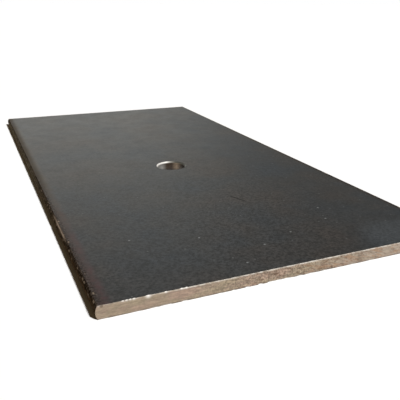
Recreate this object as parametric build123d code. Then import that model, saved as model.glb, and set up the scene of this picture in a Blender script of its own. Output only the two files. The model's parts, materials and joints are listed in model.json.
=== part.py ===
from build123d import *
import os

# A steel plate: a length of hot-rolled flat stock, sawn square at both ends, with one drilled hole.
# X runs across the width, Y along the length and Z up. Lengths are in millimetres.
# The origin is on the underside, below the middle of the plate, and the front end faces -Y.

# Stock
plate_width = 150.0
plate_length = 300.0
plate_thickness = 5.0

# Rolled long edges: sides that bulge between slightly rounded corners
corner_radius = 0.5
side_bulge = 0.8
largest_corner_share = 0.45

# Drilled hole on the middle line of the width, countersunk lightly from the top face
hole_diameter = 15.0
hole_from_front_end = 132.0
rim_chamfer = 1.0
largest_chamfer_share = 0.45


def rolled_section():
    """The stock's section: flat faces above and below, bulging sides and rounded corners."""
    side = plate_width / 2
    corner = side - side_bulge
    middle_height = plate_thickness / 2
    with BuildSketch(Plane.XZ) as section:
        with BuildLine():
            Line((-corner, 0), (corner, 0))
            ThreePointArc((corner, 0), (side, middle_height), (corner, plate_thickness))
            Line((corner, plate_thickness), (-corner, plate_thickness))
            ThreePointArc((-corner, plate_thickness), (-side, middle_height), (-corner, 0))
        make_face()
        fillet(section.vertices(), min(corner_radius, largest_corner_share * plate_thickness))
    return section.sketch


def drilled_hole():
    """What the drill takes away: a bore through the full thickness."""
    hole_y = hole_from_front_end - plate_length / 2
    bore = Cylinder(hole_diameter / 2, plate_thickness)
    return Pos(0, hole_y, plate_thickness / 2) * bore


def steel_plate():
    """The finished plate: sawn stock with its hole, and the hole's top rim chamfered."""
    stock = extrude(rolled_section(), plate_length / 2, both=True)
    drilled = stock - drilled_hole()
    rims = drilled.edges().filter_by(lambda edge: edge.is_closed)
    top_rim = rims.sort_by(Axis.Z)[-1]
    return chamfer(top_rim, min(rim_chamfer, largest_chamfer_share * plate_thickness))


os.makedirs("parts", exist_ok=True)
export_step(steel_plate(), "parts/steel_plate.step")
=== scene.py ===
import json
import math

import bmesh
import bpy
import numpy as np
from mathutils import Matrix, Vector


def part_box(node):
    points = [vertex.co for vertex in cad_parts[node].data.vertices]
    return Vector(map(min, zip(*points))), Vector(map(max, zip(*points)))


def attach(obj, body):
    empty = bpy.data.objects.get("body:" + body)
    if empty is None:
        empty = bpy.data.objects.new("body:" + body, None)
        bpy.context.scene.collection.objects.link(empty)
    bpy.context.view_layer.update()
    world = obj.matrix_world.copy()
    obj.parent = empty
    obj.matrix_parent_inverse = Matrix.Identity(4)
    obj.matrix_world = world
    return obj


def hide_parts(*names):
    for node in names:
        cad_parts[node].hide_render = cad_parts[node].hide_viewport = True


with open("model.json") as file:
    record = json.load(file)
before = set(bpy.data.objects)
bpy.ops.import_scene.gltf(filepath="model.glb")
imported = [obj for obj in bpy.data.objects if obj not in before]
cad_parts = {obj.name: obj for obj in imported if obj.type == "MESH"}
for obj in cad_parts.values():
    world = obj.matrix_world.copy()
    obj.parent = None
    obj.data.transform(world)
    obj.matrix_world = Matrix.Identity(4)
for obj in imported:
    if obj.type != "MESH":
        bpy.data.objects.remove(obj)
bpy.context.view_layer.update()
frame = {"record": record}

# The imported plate: its box, and the hole that the record states, in metres
NODE = "steel_plate"
MM_PER_M = 1000
half_width, half_length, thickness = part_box(NODE)[1]
hole = next(mount for mount in frame["record"]["mounts"] if mount["name"] == "hole")
hole_x, hole_y = hole["pos_m"][:2]
hole_radius = hole["dims"]["r_mm"] / MM_PER_M
wall_length = hole["dims"]["length_mm"] / MM_PER_M
rim_chamfer = thickness - wall_length
rim_radius = hole_radius + rim_chamfer

# Rolled long edges, as in the part's source: sides that bulge between slightly rounded corners
edge_radius = 0.0005
side_bulge = 0.0008
half_thickness = thickness / 2
side_radius = (half_thickness ** 2 + side_bulge ** 2) / (2 * side_bulge)
side_centre = half_width - side_radius
corner_rise = half_thickness - edge_radius
flat_half_width = side_centre + math.sqrt((side_radius - edge_radius) ** 2 - corner_rise ** 2)

# Mesh density, in quads
COLUMNS = 155
STATIONS = 300
ROWS = 48
PATCH_RINGS = 10
CHAMFER_RINGS = 3
WALL_RINGS = 8

# Half the side of the square of top mesh that turns from grid to rings, which crowd towards the hole
patch_half = 0.0145
RING_CROWDING = 1.5

# Mesh tolerances
WELD_DIGITS = 8
EDGE_SLACK = 0.000001
SHARP_ANGLE = math.radians(32)

# Material numbers of the faces
MILL_SCALE, ROLLED_EDGE, SAWN_STEEL, DRILLED_STEEL = range(4)

# Random lines: how many values each holds, and the seeds of the relief
KNOTS = 4096
DRIFT_SEED = 11
LINE_SEED = 12
COARSE_LINE_SEED = 13
KNOCK_SEED = 14
STRAY_SEED = 15
WAVE_SEED = 21
CROSS_WAVE_SEED = 22
NICK_SEED = 23

# Relief of the sawn ends: fine lines that drift a little across the face
saw_depth = 0.00006
saw_spacing = 0.00030
coarse_spacing = 0.00085
saw_drift = 0.0006
saw_drift_spacing = 0.030

# Knocked arrises of the sawn ends: a ragged stretch below at the front, and lighter knocks all along
knock_depth = 0.00028
knock_height = 0.00040
knock_spacing = 0.0018
knock_gain = 1.8
knock_threshold = 0.2
low_knock_middle = -0.016
low_knock_reach = 0.014
low_knock_crowding = 2.1
top_knock_share = 0.5
stray_knock_share = 0.3
stray_knock_spacing = 0.022

# Chips in the top arris of the front end: where each is across the width, and half its length
chips = (
    (-0.0660, 0.00035),
    (-0.0648, 0.00040),
    (-0.0636, 0.00040),
    (-0.0624, 0.00045),
    (-0.0576, 0.00080),
    (-0.0516, 0.00045),
    (-0.0462, 0.00040),
    (-0.0444, 0.00040),
)
chips_middle = -0.058
chips_reach = 0.016
chips_crowding = 5.3

# One dark dent in the front end, at the top left
dent_place = (-0.0729, -half_length, 0.0046)
dent_radius = 0.0008
dent_depth = 0.0002
dent_share = 0.6

# Relief of the rolled sides: short waves, nicks along the worn top corner and one long scrape on the left
wave_depth = 0.00008
wave_spacing = 0.004
cross_wave_spacing = 0.001
nick_count = 120
nick_depths = (0.00005, 0.00020)
nick_lengths = (0.0007, 0.0018)
nick_heights = (0.0003, 0.0007)
scrape_y = -0.0833
scrape_length = 0.0137
scrape_drop = 0.00042
scrape_height = 0.00030
scrape_depth = 0.00006
scrape_squareness = 6

# Camera, as solved from the plate's edges in the picture, with its sensor in millimetres
camera_place = (-0.10253, -0.29223, 0.0929)
camera_heading = math.radians(23.751)
camera_pitch = math.radians(20.432)
camera_roll = math.radians(0.507)
sensor_width = 36.0
focal_pixels = 530.9
picture_pixels = 400

# Floor
floor_half = 30.0
floor_drop = 0.0001
floor_roughness = 0.9

# Key light and fill
sun_elevation = math.radians(44)
sun_azimuth = math.radians(-68)
sun_spread = math.radians(6)
sun_strength = 4.52
ambient_strength = 0.062

# What reflections see: a left side that is bright low down, and a dark right side
bright_side_strength = 0.87
bright_side_strength_above = 0.42
bright_side_height_shares = (0.24, 0.56)
dark_side_strength = 0.22
dark_side_heading = math.radians(20)
dark_side_lean = 0.35
dark_side_softness = 0.16

# The range that holds most of a noise's values
NOISE_RANGE = (0.3, 0.7)

# Noises of the rolling scale: the size of their features, and a shift that only related ones share
patch_noise = dict(size=0.035, detail=3.0, roughness=0.6, shift=3.0)
mottle_noise = dict(size=0.009, detail=3.0, roughness=0.6, shift=5.0)
grain_noise = dict(size=0.0011, detail=3.0, roughness=0.65, shift=7.0)
band_noise = dict(size=0.0035, detail=3.0, roughness=0.6, shift=9.0)
pit_noise = dict(size=0.00085, detail=3.0, roughness=0.7, shift=11.0)
ragged_noise = dict(size=0.00085, detail=3.0, roughness=0.7, shift=13.0)
sheen_noise = dict(size=0.009, detail=4.0, roughness=0.65, shift=5.0)
scale_bump_noise = dict(size=0.0011, detail=2.0, roughness=0.6, shift=7.0)

# Rolling scale: mottling, grain that fades to the right, and one pale patch at the front right
mottle_shares = (0.90, 1.10)
grain_shares = (0.40, 1.60)
grain_fade = (0.000, 0.060)
grain_far_share = 0.5
grain_bump = 0.00002
pale_place = (0.052, -0.144, thickness)
pale_radius = 0.020
pale_share = 0.7

# Patchy band along the left edge, mauve at the front and brown further back
band_width = 0.0056
band_core_share = 1 / 3
band_shares = (0.3, 1.0)
mauve_fade = (-0.125, -0.020)

# Long edges of the scale: dark, ragged, and less worn towards the back
dark_edge = 0.0045
spared_edge = 0.0018
ragged_shares = (0.45, 1.10)
worn_start = -0.060
worn_end = 0.030

# Worn top corners: dark pits, grey flecks and bare spots
worn_drop = 0.0025
worn_core_share = 1 / 3
pit_reach = 0.0035
pit_levels = (0.50, 0.42)
grey_levels = (0.55, 0.66)
spot_spacing = 0.0016
spot_radius = 0.00055
spot_stretch = 2.0
spot_reach = 0.0010
spot_share = 0.55

# Specks in the scale, strewn and placed, and one scratch
speck_spacing = 0.0070
speck_radius = 0.00042
speck_share = 0.20
bright_speck_radius = 0.00060
bright_specks = (
    (0.0340, -0.1180),
    (-0.0040, -0.1310),
    (-0.0515, -0.1075),
    (-0.0175, -0.1420),
    (0.0385, -0.1060),
    (-0.0250, -0.1155),
    (0.0120, -0.1245),
)
scratch_start = (0.0072, -0.0740, thickness)
scratch_end = (0.0127, -0.0883, thickness)
scratch_width = 0.0007
scratch_share = 0.72
scratch_fade_share = 0.25

# Sheen of the scale: matt where worn or scratched, and dulled along the left edge towards the back
scale_ior = 1.33
sheen_roughness = (0.32, 0.38)
worn_roughness = 0.75
dull_width = 0.0038
dull_start = (-0.060, 0.000)
dull_roughness = 0.25

# Rolled sides: streaks of these sizes along x, y and z, and a brown that turns olive towards the back
streak_noise = dict(size=(0.0010, 0.0055, 0.0006), detail=3.0, roughness=0.65, shift=5.0)
side_bump_noise = dict(size=0.0011, detail=3.0, roughness=0.6, shift=0.0)
streak_shares = (0.35, 1.65)
olive_fade = (-0.11, 0.04)
corner_band = 2 * edge_radius
side_bump = 0.00006
side_roughness = 0.75

# Noises of the sawn ends, with sizes along x, y and z where there are three
saw_patch_noise = dict(size=(0.0070, 0.0070, 0.0030), detail=3.0, roughness=0.6, shift=2.0)
saw_line_noise = dict(size=(0.0120, 0.0120, 0.00050), detail=2.0, roughness=0.6, shift=4.0)
rust_noise = dict(size=(0.0060, 0.0060, 0.0012), detail=4.0, roughness=0.7, shift=6.0)
fleck_noise = dict(size=(0.0016, 0.0016, 0.00075), detail=3.0, roughness=0.7, shift=6.0)
saw_mottle_noise = dict(size=(0.0030, 0.0030, 0.0009), detail=4.0, roughness=0.65, shift=8.0)
saw_grain_noise = dict(size=0.0007, detail=2.0, roughness=0.6, shift=10.0)
pore_noise = dict(size=0.0011, detail=2.0, roughness=0.6, shift=12.0)
tint_noise = dict(size=(0.0055, 0.0055, 0.0010), detail=3.0, roughness=0.6, shift=14.0)

# Bare steel of the sawn ends: mottled, lined, paler to the right and grained about the middle
saw_mottle_shares = (0.82, 1.18)
saw_line_shares = (0.86, 1.14)
saw_fade_shares = (0.96, 1.01)
pale_end = (-0.010, 0.050)
saw_grain_shares = (0.60, 1.40)
saw_grain_start = (-0.050, -0.018)
saw_grain_end = (-0.002, 0.022)
saw_grain_share = 0.15
saw_bump = 0.00003
saw_metal_share = 0.2
saw_roughness = 0.5

# Rust and pores of the sawn ends: most about the middle, some to the right and least to the left
rust_slant = math.radians(-12)
rust_start = (-0.035, -0.008)
rust_end = (0.012, 0.040)
rust_end_share = 0.45
rust_levels = (0.50, 0.63)
fleck_levels = (0.53, 0.65)
rust_shares = (0.10, 0.80)
pore_levels = (0.60, 0.68)
pore_share = 0.55

# Orange and cream streaks on the right of the sawn ends
tint_slant = math.radians(-20)
tint_start = (-0.010, 0.015)
orange_levels = (0.51, 0.60)
orange_share = 0.65
cream_levels = (0.48, 0.38)
cream_share = 0.45

# Bright line along the top arris of the sawn ends, weak at the far left, and painted shade along the low
# one
bright_line = 0.0007
bright_line_core_share = 0.25
bright_line_levels = (0.4, 0.6)
bright_line_shares = (1.0, 0.3)
bright_line_start = (-0.062, -0.044)
bright_line_start_share = 0.3
low_arris_shade = 0.0006
low_arris_shade_share = 0.55

# Hole, with the picture's light painted in: how far the tones' lines turn to the front, and the rim's start
rim_heading = math.radians(55)
wall_heading = math.radians(20)
rim_shares = (0.20, 0.45)
# Painted shade: how dark the hole's wall turns at its bottom
low_wall_shade_share = 0.4
hole_metal_share = 0.35
hole_roughness = 0.35

# Colours, linear
scale_blue = (0.0215, 0.0250, 0.0290)
scale_grey = (0.0253, 0.0256, 0.0262)
scale_brown = (0.0300, 0.0262, 0.0240)
scale_pale = (0.042, 0.047, 0.052)
scratch_dark = (0.006, 0.006, 0.006)
speck_grey = (0.085, 0.088, 0.088)
speck_bright = (0.15, 0.155, 0.157)
band_mauve = (0.060, 0.025, 0.027)
band_brown = (0.036, 0.022, 0.010)
edge_dark = (0.0160, 0.0100, 0.0065)
edge_warm = (0.040, 0.027, 0.014)
corner_brown = (0.055, 0.042, 0.032)
edge_brown = (0.057, 0.035, 0.0175)
edge_olive = (0.115, 0.095, 0.062)
edge_tan = (0.27, 0.205, 0.145)
scrape_tan = (0.48, 0.375, 0.285)
pit_brown = (0.008, 0.005, 0.003)
pit_grey = (0.075, 0.062, 0.050)
saw_bright = (0.50, 0.465, 0.41)
saw_rust = (0.088, 0.046, 0.019)
saw_dark = (0.045, 0.027, 0.015)
saw_orange = (0.250, 0.150, 0.085)
saw_cream = (0.310, 0.262, 0.195)
saw_pale = (0.264, 0.211, 0.166)
saw_pink = (0.247, 0.175, 0.130)
saw_tan = (0.238, 0.180, 0.128)
saw_yellow = (0.230, 0.182, 0.122)
# Bare steel of the knocks, also the painted highlight on the hole's rim
bare_steel_and_rim_highlight = (0.78, 0.75, 0.71)
# Tones of the hole's wall and rim: painted reflection and shade
wall_black = (0.012, 0.008, 0.005)
wall_dark = (0.035, 0.022, 0.013)
wall_tan = (0.21, 0.155, 0.105)
wall_grey = (0.19, 0.183, 0.17)
rim_grey = (0.28, 0.265, 0.235)
rim_dull = (0.085, 0.082, 0.068)
floor_white = (0.98, 0.98, 0.98)
ambient_tint = (1.0, 0.74, 0.42)
reflected_white = (1.0, 1.0, 0.94)
white = (1.0, 1.0, 1.0)
OPAQUE = 1.0

# Colour ramps: how far along each colour comes, from 0 to 1
scale_stops = ((0.34, scale_blue), (0.50, scale_grey), (0.66, scale_brown))
saw_stops = ((0.36, saw_pink), (0.50, saw_tan), (0.64, saw_yellow))
# The hole's rim and wall: painted highlight, reflection and shade, across the hole
rim_highlight_stops = ((0.08, bare_steel_and_rim_highlight), (0.20, rim_grey), (0.35, rim_dull))
wall_light_and_shade_stops = (
    (0.18, wall_grey),
    (0.34, wall_dark),
    (0.52, wall_dark),
    (0.68, wall_tan),
    (0.90, wall_black),
)


# Mesh of the plate

def wander(along, spacing, seed):
    """A smooth random line between -1 and 1, with a new value at every spacing."""
    values = np.random.default_rng(seed).uniform(-1, 1, KNOTS)
    step = along / spacing
    low = np.floor(step).astype(int)
    part = step - low
    ease = part * part * (3 - 2 * part)
    return values[low % KNOTS] * (1 - ease) + values[(low + 1) % KNOTS] * ease


def bell(along, middle, reach):
    """1 at the middle, falling towards 0 past the reach on both sides."""
    return np.exp(-((along - middle) / reach) ** 2)


class Sheets:
    """Grids of points that are gathered one by one and welded where they meet."""

    def __init__(self):
        self.points = []
        self.faces = []
        self.materials = []
        self.count = 0

    def add(self, points, material, keep=None):
        """Adds a grid of points, rows by columns by 3, without the quads that keep leaves out."""
        rows, columns = points.shape[:2]
        ids = np.arange(rows * columns).reshape(rows, columns) + self.count
        corners = [ids[:-1, :-1], ids[1:, :-1], ids[1:, 1:], ids[:-1, 1:]]
        faces = np.stack(corners, axis=-1).reshape(-1, 4)
        if keep is not None:
            faces = faces[keep.reshape(-1)]
        self.points.append(points.reshape(-1, 3))
        self.faces.append(faces)
        self.materials.append(np.full(len(faces), material))
        self.count += rows * columns

    def weld(self):
        """The used points and the corners of each face, both without repeats, and each face's material."""
        points = np.round(np.concatenate(self.points), WELD_DIGITS)
        all_faces = np.concatenate(self.faces)
        places, new_ids = np.unique(points[all_faces.reshape(-1)], axis=0, return_inverse=True)
        all_faces = new_ids.reshape(all_faces.shape)
        faces = []
        materials = []
        for face, material in zip(all_faces.tolist(), np.concatenate(self.materials).tolist()):
            corners = list(dict.fromkeys(face))
            if len(corners) > 2:
                faces.append(corners)
                materials.append(material)
        return places, faces, materials


def column_places():
    """Places across the flat of the top, closer together where the front arrises are chipped or ragged."""
    across = np.linspace(-flat_half_width, flat_half_width, KNOTS)
    chipped = chips_crowding * bell(across, chips_middle, chips_reach)
    ragged = low_knock_crowding * bell(across, low_knock_middle, low_knock_reach)
    share = np.cumsum(1 + chipped + ragged)
    share = (share - share[0]) / (share[-1] - share[0])
    return np.interp(np.linspace(0, 1, COLUMNS + 1), share, across)


def side_profile():
    """Half width and height of the rolled side, from the top face round to the underside."""
    rise = half_thickness * np.cos(np.linspace(0, math.pi, ROWS + 1))
    away = np.abs(rise)
    in_corner = np.clip(away - corner_rise, 0, edge_radius)
    on_corner = flat_half_width + np.sqrt(edge_radius ** 2 - in_corner ** 2)
    on_side = side_centre + np.sqrt(side_radius ** 2 - away ** 2)
    meeting = corner_rise * side_radius / (side_radius - edge_radius)
    return np.where(away < meeting, on_side, on_corner), half_thickness + rise


def nearest(places, wanted):
    """The number of the place that is nearest to the wanted one."""
    return int(np.abs(places - wanted).argmin())


def square_outline(xs, ys):
    """Grid corners once round a square, closed, as x and y."""
    south = [(x, ys[0]) for x in xs[:-1]]
    east = [(xs[-1], y) for y in ys[:-1]]
    north = [(x, ys[-1]) for x in xs[:0:-1]]
    west = [(xs[0], y) for y in ys[:0:-1]]
    once = south + east + north + west
    return np.array(once + once[:1])


def add_top(sheets, xs, ys):
    """The top face: a grid that turns into rings around the hole. Gives the angles round the rings."""
    west = nearest(xs, hole_x - patch_half)
    east = nearest(xs, hole_x + patch_half)
    south = nearest(ys, hole_y - patch_half)
    north = nearest(ys, hole_y + patch_half)
    keep = np.ones((len(ys) - 1, len(xs) - 1), bool)
    keep[south:north, west:east] = False
    y_grid, x_grid = np.meshgrid(ys, xs, indexing="ij")
    z_grid = np.full_like(x_grid, thickness)
    sheets.add(np.stack([x_grid, y_grid, z_grid], axis=-1), MILL_SCALE, keep)

    square = square_outline(xs[west:east + 1], ys[south:north + 1])
    angle = np.arctan2(square[:, 1] - hole_y, square[:, 0] - hole_x)
    circle_x = hole_x + rim_radius * np.cos(angle)
    circle_y = hole_y + rim_radius * np.sin(angle)
    circle = np.stack([circle_x, circle_y], axis=-1)
    share = np.linspace(0, 1, PATCH_RINGS + 1)[:, None, None] ** RING_CROWDING
    rings = (1 - share) * circle + share * square
    heights = np.full(rings.shape[:2] + (1,), thickness)
    sheets.add(np.concatenate([rings, heights], axis=-1), MILL_SCALE)
    return angle


def add_sides(sheets, ys):
    """The two rolled long sides."""
    side_x, side_z = side_profile()
    for sign in (-1, 1):
        points = np.empty((len(ys), ROWS + 1, 3))
        points[..., 0] = sign * side_x
        points[..., 1] = ys[:, None]
        points[..., 2] = side_z
        sheets.add(points, ROLLED_EDGE)


def add_ends(sheets, xs):
    """The two sawn ends."""
    side_x, side_z = side_profile()
    for end_y in (-half_length, half_length):
        points = np.empty((ROWS + 1, len(xs) + 2, 3))
        points[:, 0, 0] = -side_x
        points[:, 1:-1, 0] = xs
        points[:, -1, 0] = side_x
        points[..., 1] = end_y
        points[..., 2] = side_z[:, None]
        sheets.add(points, SAWN_STEEL)


def add_hole(sheets, angle):
    """The hole: a chamfer at the top and a straight wall below it."""
    step = np.linspace(0, rim_chamfer, CHAMFER_RINGS + 1)[:-1]
    radii = np.concatenate([rim_radius - step, np.full(WALL_RINGS + 1, hole_radius)])
    heights = np.concatenate([thickness - step, np.linspace(wall_length, 0, WALL_RINGS + 1)])
    points = np.empty((len(radii), len(angle), 3))
    points[..., 0] = hole_x + radii[:, None] * np.cos(angle)
    points[..., 1] = hole_y + radii[:, None] * np.sin(angle)
    points[..., 2] = heights[:, None]
    sheets.add(points, DRILLED_STEEL)


def knocks(place):
    """How hard the sawn arrises are knocked, from 0 to 1: chipped above at the front, ragged below."""
    x, y, z = place.T
    from_arris = np.minimum(z, thickness - z)
    strays = stray_knock_share * (1 + wander(x, stray_knock_spacing, STRAY_SEED))
    ragged = np.clip(knock_gain * wander(x, knock_spacing, KNOCK_SEED) - knock_threshold, 0, 1)
    ragged = ragged * np.clip(1 - from_arris / knock_height, 0, 1)
    chipped = np.zeros(len(place))
    for chip_x, half_size in chips:
        chip = bell(x, chip_x, half_size) * bell(z, thickness, half_size)
        chipped = np.maximum(chipped, chip)
    at_front = np.where(y < 0, 1, 0)
    top = np.maximum(top_knock_share * strays * ragged, chipped * at_front)
    low = np.clip(bell(x, low_knock_middle, low_knock_reach) * at_front + strays, 0, 1) * ragged
    return np.where(z > half_thickness, top, low)


def sawn_relief(place):
    """How far each point of the two ends lies in from the end plane."""
    drifted = place[:, 2] + saw_drift * wander(place[:, 0], saw_drift_spacing, DRIFT_SEED)
    fine = wander(drifted, saw_spacing, LINE_SEED)
    coarse = wander(drifted, coarse_spacing, COARSE_LINE_SEED)
    lines = (fine + coarse) / 2
    from_dent = np.linalg.norm(place - dent_place, axis=1)
    dent = dent_depth * bell(from_dent, 0, dent_radius)
    return saw_depth * (1 + lines) / 2 + knock_depth * knocks(place) + dent


def scrape(place):
    """How hard each point of the rolled sides is scraped, from 0 to 1, on the left side only."""
    along = (place[:, 1] - scrape_y) / scrape_length
    across = (place[:, 2] - (thickness - scrape_drop)) / scrape_height
    scraped = np.exp(-along ** scrape_squareness - across ** 2)
    return np.where(place[:, 0] < 0, scraped, 0)


def nicks(place):
    """How deep the nicks cut into the rolled sides, by point."""
    y, z = place[:, 1], place[:, 2]
    side = np.sign(place[:, 0])
    rng = np.random.default_rng(NICK_SEED)
    total = np.zeros(len(place))
    for _ in range(nick_count):
        nick_side = rng.choice((-1, 1))
        nick_y = rng.uniform(-half_length, half_length)
        nick_z = rng.uniform(thickness - worn_drop, thickness)
        depth = rng.uniform(*nick_depths)
        along = bell(y, nick_y, rng.uniform(*nick_lengths))
        across = bell(z, nick_z, rng.uniform(*nick_heights))
        total = total + np.where(side == nick_side, depth * along * across, 0)
    return total


def side_relief(place):
    """How far each point of the rolled sides lies in from the true section."""
    y, z = place[:, 1], place[:, 2]
    waves = wander(y, wave_spacing, WAVE_SEED) * wander(z + y, cross_wave_spacing, CROSS_WAVE_SEED)
    return wave_depth * (1 + waves) / 2 + nicks(place) + scrape_depth * scrape(place)


def roughened(places):
    """The plate's points with the relief of its ends and sides, and how bare each point is worn."""
    moved = places.copy()
    wear = np.zeros(len(places))
    at_end = np.abs(places[:, 1]) > half_length - EDGE_SLACK
    moved[at_end, 1] -= np.sign(places[at_end, 1]) * sawn_relief(places[at_end])
    wear[at_end] = knocks(places[at_end])
    on_side = np.abs(places[:, 0]) > flat_half_width + EDGE_SLACK
    turned = np.clip((np.abs(places[on_side, 0]) - flat_half_width) / edge_radius, 0, 1)
    moved[on_side, 0] -= np.sign(places[on_side, 0]) * turned * side_relief(places[on_side])
    wear[on_side] = np.maximum(wear[on_side], scrape(places[on_side]))
    return moved, wear


def close_underside(mesh):
    """Fills the flat underside between the outline and the hole, and makes every face look out."""
    work = bmesh.new()
    work.from_mesh(mesh)
    open_edges = [edge for edge in work.edges if edge.is_boundary]
    bmesh.ops.triangle_fill(work, edges=open_edges, use_beauty=True)
    bmesh.ops.recalc_face_normals(work, faces=work.faces)
    work.to_mesh(mesh)
    work.free()


def build_plate():
    """The plate as one closed mesh, with its wear kept on its points."""
    sheets = Sheets()
    xs = column_places()
    ys = np.linspace(-half_length, half_length, STATIONS + 1)
    angle = add_top(sheets, xs, ys)
    add_sides(sheets, ys)
    add_ends(sheets, xs)
    add_hole(sheets, angle)
    places, faces, materials = sheets.weld()
    moved, wear = roughened(places)
    mesh = bpy.data.meshes.new("plate_stock")
    mesh.from_pydata(moved.tolist(), [], faces)
    mesh.polygons.foreach_set("material_index", materials)
    mesh.attributes.new("wear", "FLOAT", "POINT").data.foreach_set("value", wear)
    close_underside(mesh)
    mesh.polygons.foreach_set("use_smooth", [True] * len(mesh.polygons))
    mesh.set_sharp_from_angle(angle=SHARP_ANGLE)
    plate = bpy.data.objects.new("plate_stock", mesh)
    bpy.context.scene.collection.objects.link(plate)
    return plate


# Materials

class Graph:
    """A node tree, with short calls for its nodes and links."""

    def __init__(self, tree):
        self.tree = tree

    def add(self, kind, inputs=None, **settings):
        """A new node with these settings, and these input values or links."""
        node = self.tree.nodes.new(kind)
        for name, value in settings.items():
            setattr(node, name, value)
        for name, value in (inputs or {}).items():
            self.put(node.inputs[name], value)
        return node

    def put(self, socket, value):
        """Links a socket to an output, or sets it to a number, a vector or a colour."""
        if isinstance(value, bpy.types.NodeSocket):
            self.tree.links.new(value, socket)
        elif socket.type == "RGBA":
            socket.default_value = tuple(value) + (OPAQUE,)
        else:
            socket.default_value = value

    def math(self, operation, first, second=0.0):
        """The result of one operation on two numbers."""
        return self.add("ShaderNodeMath", {0: first, 1: second}, operation=operation).outputs[0]

    def vector(self, operation, first, second=(0.0, 0.0, 0.0)):
        """The results of one operation on two vectors, by name."""
        return self.add("ShaderNodeVectorMath", {0: first, 1: second}, operation=operation).outputs

    def dot(self, first, second):
        """How far one vector reaches along another."""
        return self.vector("DOT_PRODUCT", first, second)["Value"]

    def scaled(self, colour, factor):
        """A colour made lighter or darker, or a vector made longer or shorter."""
        node = self.add("ShaderNodeVectorMath", {0: colour, "Scale": factor}, operation="SCALE")
        return node.outputs["Vector"]

    def product(self, *values):
        """Several values multiplied together."""
        result = values[0]
        for value in values[1:]:
            result = self.math("MULTIPLY", result, value)
        return result

    def span(self, value, low, high, to_low=0.0, to_high=1.0):
        """Maps a range of values smoothly to another."""
        inputs = {"Value": value, "From Min": low, "From Max": high, "To Min": to_low, "To Max": to_high}
        node = self.add("ShaderNodeMapRange", inputs, interpolation_type="SMOOTHSTEP")
        return node.outputs["Result"]

    def line(self, value, low, high):
        """Maps a range of values straight to 0 to 1."""
        inputs = {"Value": value, "From Min": low, "From Max": high}
        return self.add("ShaderNodeMapRange", inputs).outputs["Result"]

    def blend(self, factor, first, second):
        """One colour turning into another."""
        node = self.add("ShaderNodeMix", data_type="RGBA")
        sockets = {socket.identifier: socket for socket in node.inputs}
        self.put(sockets["Factor_Float"], factor)
        self.put(sockets["A_Color"], first)
        self.put(sockets["B_Color"], second)
        return next(socket for socket in node.outputs if socket.identifier == "Result_Color")


class Surface(Graph):
    """A material with its shader, patterns laid out in the object's own coordinates."""

    def __init__(self, name):
        self.material = bpy.data.materials.new(name)
        self.material.use_nodes = True
        super().__init__(self.material.node_tree)
        self.shader = self.tree.nodes["Principled BSDF"]
        self.place = self.add("ShaderNodeTexCoord").outputs["Object"]
        split = self.add("ShaderNodeSeparateXYZ", {"Vector": self.place}).outputs
        self.x, self.y, self.z = split["X"], split["Y"], split["Z"]

    def set(self, **values):
        """Sets or links the shader's inputs, with _ for each space in a name."""
        for name, value in values.items():
            self.put(self.shader.inputs[name.replace("_", " ")], value)

    def turned(self, angle):
        """The place, turned about the plate's length."""
        inputs = {"Vector": self.place, "Angle": angle}
        return self.add("ShaderNodeVectorRotate", inputs, rotation_type="Y_AXIS").outputs["Vector"]

    def noise(self, size, detail, roughness, shift, place=None):
        """Noise with features of this size, or of these sizes along x, y and z."""
        sizes = size if isinstance(size, tuple) else (size, size, size)
        scales = tuple(1 / one for one in sizes)
        vector = self.place if place is None else place
        inputs = {"Vector": vector, "Scale": scales, "Location": (shift, shift, shift)}
        mapped = self.add("ShaderNodeMapping", inputs).outputs["Vector"]
        inputs = {"Vector": mapped, "Scale": 1.0, "Detail": detail, "Roughness": roughness}
        return self.add("ShaderNodeTexNoise", inputs).outputs["Fac"]

    def uneven(self, noise, low, high):
        """A value that follows a noise from low to high."""
        return self.span(noise, *NOISE_RANGE, low, high)

    def spots(self, spacing, radius, kept_share, dimensions, stretch=1.0):
        """Small spots in a share of the cells of this spacing, drawn out along the length."""
        place = self.vector("MULTIPLY", self.place, (1.0, 1 / stretch, 1.0))["Vector"]
        inputs = {"Vector": place, "Scale": 1 / spacing}
        cells = self.add("ShaderNodeTexVoronoi", inputs, voronoi_dimensions=dimensions).outputs
        reach = radius / spacing
        spot = self.span(cells["Distance"], reach, reach / 2)
        chosen = self.add("ShaderNodeSeparateColor", {"Color": cells["Color"]}).outputs["Red"]
        return self.product(spot, self.math("LESS_THAN", chosen, kept_share))

    def spot(self, centre, radius):
        """One round spot: 1 in its middle, 0 past its radius."""
        return self.span(self.vector("DISTANCE", self.place, centre)["Value"], radius, radius / 2)

    def mark(self, start, end, width, fade_share):
        """One thin straight mark that fades out over a share of its length at each end."""
        way = Vector(end) - Vector(start)
        length = way.length
        fade = fade_share * length
        way.normalize()
        offset = self.vector("SUBTRACT", self.place, start)["Vector"]
        along = self.dot(offset, way)
        aside = self.vector("DISTANCE", offset, self.scaled(tuple(way), along))["Value"]
        ends = self.product(self.span(along, 0.0, fade), self.span(along, length, length - fade))
        return self.product(ends, self.span(aside, width, width / 2))

    def ramp(self, factor, stops):
        """A colour ramp, given as pairs of position and colour."""
        node = self.add("ShaderNodeValToRGB", {"Fac": factor})
        elements = node.color_ramp.elements
        for position, _ in stops[len(elements):]:
            elements.new(position)
        for element, (position, colour) in zip(elements, stops):
            element.position = position
            element.color = tuple(colour) + (OPAQUE,)
        return node.outputs["Color"]

    def bump(self, height, distance):
        """A normal that follows a fine relief of this height."""
        return self.add("ShaderNodeBump", {"Height": height, "Distance": distance}).outputs["Normal"]

    def wear(self):
        """How bare the mesh is worn, from 0 to 1."""
        return self.add("ShaderNodeAttribute", attribute_name="wear").outputs["Fac"]


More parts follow.
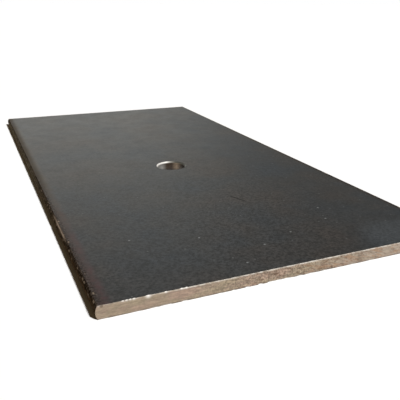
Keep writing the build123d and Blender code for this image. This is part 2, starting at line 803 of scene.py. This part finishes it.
def edge_wear(surface):
    """How worn the rolling scale is towards the long edges, less and less towards the back."""
    spared = surface.span(surface.y, worn_start, half_length, 0.0, spared_edge)
    outward = surface.math("SUBTRACT", surface.math("ABSOLUTE", surface.x), spared)
    near_edge = surface.span(outward, flat_half_width - dark_edge, flat_half_width + edge_radius)
    ragged = surface.uneven(surface.noise(**ragged_noise), *ragged_shares)
    return surface.product(near_edge, ragged)


def scale_tint(surface):
    """Rolling scale: tinted patches, one pale patch, mottling, and grain that fades to the right."""
    tint = surface.ramp(surface.noise(**patch_noise), scale_stops)
    pale = surface.product(surface.spot(pale_place, pale_radius), pale_share)
    tint = surface.blend(pale, tint, scale_pale)
    tint = surface.scaled(tint, surface.uneven(surface.noise(**mottle_noise), *mottle_shares))
    grain = surface.uneven(surface.noise(**grain_noise), *grain_shares)
    grainy = surface.span(surface.x, *grain_fade, 1.0, grain_far_share)
    return surface.blend(grainy, tint, surface.scaled(tint, grain))


def scale_edges(surface, colour, worn):
    """Adds the band along the left edge and the dark, worn long edges."""
    core = band_core_share * band_width
    band = surface.span(surface.x, band_width - flat_half_width, core - flat_half_width)
    patchy = surface.uneven(surface.noise(**band_noise), *band_shares)
    hue = surface.blend(surface.span(surface.y, *mauve_fade), band_mauve, band_brown)
    colour = surface.blend(surface.product(band, patchy), colour, hue)
    edge = surface.blend(surface.span(surface.y, worn_start, worn_end), edge_dark, edge_warm)
    return surface.blend(worn, colour, edge)


def worn_corner(surface, colour):
    """Adds dark pits, grey flecks and bare spots along the long top corners, fewer towards the back."""
    outward = surface.math("ABSOLUTE", surface.x)
    worn = surface.product(
        surface.span(outward, flat_half_width - pit_reach, flat_half_width),
        surface.span(surface.z, thickness - worn_drop, thickness - worn_core_share * worn_drop),
        surface.span(surface.y, worn_end, worn_start),
    )
    pits = surface.noise(**pit_noise)
    colour = surface.blend(surface.product(worn, surface.span(pits, *pit_levels)), colour, pit_brown)
    colour = surface.blend(surface.product(worn, surface.span(pits, *grey_levels)), colour, pit_grey)
    spots = surface.spots(spot_spacing, spot_radius, spot_share, "3D", spot_stretch)
    bare = surface.span(outward, flat_half_width - spot_reach, flat_half_width)
    return surface.blend(surface.product(worn, bare, spots), colour, edge_tan)


def add_specks(surface, colour):
    """Adds small grey specks all over and a few brighter ones."""
    specks = surface.spots(speck_spacing, speck_radius, speck_share, "2D")
    colour = surface.blend(specks, colour, speck_grey)
    for x, y in bright_specks:
        speck = surface.spot((x, y, thickness), bright_speck_radius)
        colour = surface.blend(speck, colour, speck_bright)
    return colour


def scale_roughness(surface, worn):
    """A dull sheen, matt where worn, and duller along the left edge towards the back."""
    sheen = surface.uneven(surface.noise(**sheen_noise), *sheen_roughness)
    dull = surface.product(
        surface.span(surface.x, dull_width - flat_half_width, -flat_half_width),
        surface.span(surface.y, *dull_start),
        dull_roughness,
    )
    matt = surface.product(worn, worn_roughness)
    return surface.math("MAXIMUM", surface.math("ADD", sheen, dull), matt)


def mill_scale():
    """The top and underside: dark rolling scale with a dull sheen, small bright specks and one scratch."""
    surface = Surface("mill_scale")
    worn = edge_wear(surface)
    colour = scale_edges(surface, scale_tint(surface), worn)
    colour = add_specks(surface, worn_corner(surface, colour))
    scratch = surface.mark(scratch_start, scratch_end, scratch_width, scratch_fade_share)
    scratch = surface.product(scratch, scratch_share)
    colour = surface.blend(scratch, colour, scratch_dark)
    roughness = scale_roughness(surface, surface.math("MAXIMUM", worn, scratch))
    surface.set(Base_Color=colour, IOR=scale_ior, Roughness=roughness)
    surface.set(Normal=surface.bump(surface.noise(**scale_bump_noise), grain_bump))
    return surface.material


def rolled_edge():
    """The long sides: matt, streaky brown scale, pitted along the top corner and bare where scraped."""
    surface = Surface("rolled_edge")
    near_top = surface.span(surface.z, thickness - corner_band, thickness)
    on_left = surface.math("LESS_THAN", surface.x, 0.0)
    colour = surface.blend(surface.span(surface.y, *olive_fade), edge_brown, edge_olive)
    colour = surface.blend(surface.product(near_top, on_left), colour, corner_brown)
    colour = surface.scaled(colour, surface.uneven(surface.noise(**streak_noise), *streak_shares))
    colour = worn_corner(surface, colour)
    colour = surface.blend(surface.wear(), colour, scrape_tan)
    surface.set(Base_Color=colour, Roughness=side_roughness, Specular_IOR_Level=0.0)
    surface.set(Normal=surface.bump(surface.noise(**side_bump_noise), side_bump))
    return surface.material


def sawn_tint(surface, lines):
    """Bare steel: pink, tan and yellowish patches, paler to the right, mottled and lined."""
    colour = surface.ramp(surface.noise(**saw_patch_noise), saw_stops)
    colour = surface.blend(surface.span(surface.x, *pale_end), colour, saw_pale)
    mottle = surface.uneven(surface.noise(**saw_mottle_noise), *saw_mottle_shares)
    colour = surface.scaled(colour, mottle)
    fade = surface.span(surface.x, -half_width, half_width, *saw_fade_shares)
    colour = surface.scaled(colour, fade)
    return surface.scaled(colour, surface.uneven(lines, *saw_line_shares))


def add_saw_grain(surface, colour):
    """Adds a fine grain that is strongest about the middle."""
    grain = surface.uneven(surface.noise(**saw_grain_noise), *saw_grain_shares)
    grainy = surface.product(
        surface.span(surface.x, *saw_grain_start, saw_grain_share, 1.0),
        surface.span(surface.x, *saw_grain_end, 1.0, saw_grain_share),
    )
    return surface.blend(grainy, colour, surface.scaled(colour, grain))


def add_rust(surface, colour, rusty, streaks, flecks):
    """Adds slanting streaks and flecks of rust."""
    rust = surface.math(
        "MAXIMUM",
        surface.span(streaks, *rust_levels),
        surface.span(flecks, *fleck_levels),
    )
    strength = surface.span(rusty, 0.0, 1.0, *rust_shares)
    return surface.blend(surface.product(rust, strength), colour, saw_rust)


def add_tints(surface, colour):
    """Adds slanting orange and cream streaks on the right."""
    tints = surface.noise(**tint_noise, place=surface.turned(tint_slant))
    on_right = surface.span(surface.x, *tint_start)
    orange = surface.product(surface.span(tints, *orange_levels), on_right, orange_share)
    cream = surface.product(surface.span(tints, *cream_levels), on_right, cream_share)
    colour = surface.blend(orange, colour, saw_orange)
    return surface.blend(cream, colour, saw_cream)


def add_pores(surface, colour, rusty):
    """Adds small dark pores where it is rusty."""
    pores = surface.span(surface.noise(**pore_noise), *pore_levels)
    return surface.blend(surface.product(pores, rusty, pore_share), colour, saw_dark)


def add_arrises(surface, colour, flecks):
    """Adds a bright line along the top arris, painted shade along the low arris, bare knocks and the dent.
    """
    core = bright_line_core_share * bright_line
    near_top = surface.span(surface.z, thickness - bright_line, thickness - core)
    patchy = surface.span(flecks, *bright_line_levels, *bright_line_shares)
    along = surface.span(surface.x, *bright_line_start, bright_line_start_share, 1.0)
    colour = surface.blend(surface.product(near_top, patchy, along), colour, saw_bright)
    # Painted shade: darker along the low arris, where the end meets the floor
    colour = surface.scaled(colour, surface.span(surface.z, 0.0, low_arris_shade, low_arris_shade_share, 1.0))
    colour = surface.blend(surface.wear(), colour, bare_steel_and_rim_highlight)
    dent = surface.product(surface.spot(dent_place, dent_radius), dent_share)
    return surface.blend(dent, colour, edge_brown)


def sawn_steel():
    """The ends: tan bare steel, rusty about the middle and streaked with orange and cream on the right."""
    surface = Surface("sawn_steel")
    lines = surface.noise(**saw_line_noise)
    slanted = surface.turned(rust_slant)
    streaks = surface.noise(**rust_noise, place=slanted)
    flecks = surface.noise(**fleck_noise, place=slanted)
    rusty = surface.product(
        surface.span(surface.x, *rust_start),
        surface.span(surface.x, *rust_end, 1.0, rust_end_share),
    )
    colour = add_saw_grain(surface, sawn_tint(surface, lines))
    colour = add_rust(surface, colour, rusty, streaks, flecks)
    colour = add_tints(surface, colour)
    colour = add_pores(surface, colour, rusty)
    colour = add_arrises(surface, colour, flecks)
    surface.set(Base_Color=colour, Metallic=saw_metal_share, Roughness=saw_roughness)
    surface.set(Normal=surface.bump(lines, saw_bump))
    return surface.material


def across_hole(surface, heading):
    """How far across the hole a place is, from 0 to 1, along a line that heads right and to the front."""
    axis = (math.cos(heading), -math.sin(heading), 0.0)
    middle = hole_x * axis[0] + hole_y * axis[1]
    return surface.line(surface.dot(surface.place, axis), middle - rim_radius, middle + rim_radius)


def drilled_steel():
    """The hole, painted as lit in the picture: a bright rim at the back left, a wall from grey to black."""
    surface = Surface("drilled_steel")
    rim_heights = [wall_length + share * rim_chamfer for share in rim_shares]
    on_rim = surface.span(surface.z, *rim_heights)
    # Painted highlight and reflection on the rim, by place across the hole
    rim = surface.ramp(across_hole(surface, rim_heading), rim_highlight_stops)
    # Painted reflection and shade on the wall, by place across the hole
    wall = surface.ramp(across_hole(surface, wall_heading), wall_light_and_shade_stops)
    # Painted shade: the wall darker towards its bottom
    wall = surface.scaled(wall, surface.span(surface.z, 0.0, wall_length / 2, low_wall_shade_share, 1.0))
    colour = surface.blend(on_rim, wall, rim)
    surface.set(Base_Color=colour, Metallic=hole_metal_share, Roughness=hole_roughness)
    return surface.material


# Stage

def build_floor():
    """A wide, plain white floor just under the plate."""
    mesh = bpy.data.meshes.new("floor")
    signs = ((-1, -1), (1, -1), (1, 1), (-1, 1))
    corners = [(x * floor_half, y * floor_half, -floor_drop) for x, y in signs]
    mesh.from_pydata(corners, [], [(0, 1, 2, 3)])
    floor = bpy.data.objects.new("floor", mesh)
    bpy.context.scene.collection.objects.link(floor)
    surface = Surface("floor_paint")
    surface.set(Base_Color=floor_white, Roughness=floor_roughness, Specular_IOR_Level=0.0)
    floor.data.materials.append(surface.material)


def reflected_strength(graph, direction):
    """How bright reflections see each direction."""
    height = graph.add("ShaderNodeSeparateXYZ", {"Vector": direction}).outputs["Z"]
    strengths = (bright_side_strength, bright_side_strength_above)
    bright = graph.span(height, *bright_side_height_shares, *strengths)
    to_left = (-math.cos(dark_side_heading), math.sin(dark_side_heading), dark_side_lean)
    leftward = graph.dot(direction, to_left)
    return graph.span(leftward, -dark_side_softness, dark_side_softness, dark_side_strength, bright)


def build_world():
    """Soft warm fill, white to the camera; reflections see a bright left side and a dark right side."""
    world = bpy.data.worlds.new("studio")
    bpy.context.scene.world = world
    world.use_nodes = True
    graph = Graph(world.node_tree)
    path = graph.add("ShaderNodeLightPath").outputs
    seen = graph.math("MAXIMUM", path["Is Camera Ray"], path["Is Transmission Ray"])
    reflected = reflected_strength(graph, graph.add("ShaderNodeTexCoord").outputs["Generated"])
    strength = graph.span(path["Is Glossy Ray"], 0.0, 1.0, ambient_strength, reflected)
    tint = graph.blend(path["Is Glossy Ray"], ambient_tint, reflected_white)
    background = world.node_tree.nodes["Background"]
    graph.put(background.inputs["Color"], graph.blend(seen, tint, white))
    graph.put(background.inputs["Strength"], graph.span(seen, 0.0, 1.0, strength, 1.0))


def build_sun():
    """A soft key light from the front, a little to the right."""
    data = bpy.data.lights.new("key", "SUN")
    data.energy = sun_strength
    data.angle = sun_spread
    key = bpy.data.objects.new("key", data)
    level = math.cos(sun_elevation)
    toward_x = level * math.cos(sun_azimuth)
    toward_y = level * math.sin(sun_azimuth)
    toward = Vector((toward_x, toward_y, math.sin(sun_elevation)))
    key.rotation_mode = "QUATERNION"
    key.rotation_quaternion = toward.to_track_quat("Z", "Y")
    bpy.context.scene.collection.objects.link(key)


def turn(angle, axis):
    """A turn about one axis, as a 4 by 4 matrix."""
    return Matrix.Rotation(angle, 4, axis)


def build_camera():
    """The camera, where the plate's edges look as they do in the picture."""
    data = bpy.data.cameras.new("camera")
    data.sensor_width = sensor_width
    data.lens = focal_pixels / picture_pixels * sensor_width
    camera = bpy.data.objects.new("camera", data)
    aim = turn(-camera_heading, "Z") @ turn(math.pi / 2 - camera_pitch, "X") @ turn(camera_roll, "Z")
    camera.matrix_world = Matrix.Translation(camera_place) @ aim
    bpy.context.scene.collection.objects.link(camera)
    bpy.context.scene.camera = camera


plate = build_plate()
for make in (mill_scale, rolled_edge, sawn_steel, drilled_steel):
    plate.data.materials.append(make())
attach(plate, "root")
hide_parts(NODE)

build_floor()
build_world()
build_sun()
build_camera()
bpy.context.scene.view_settings.view_transform = "Standard"
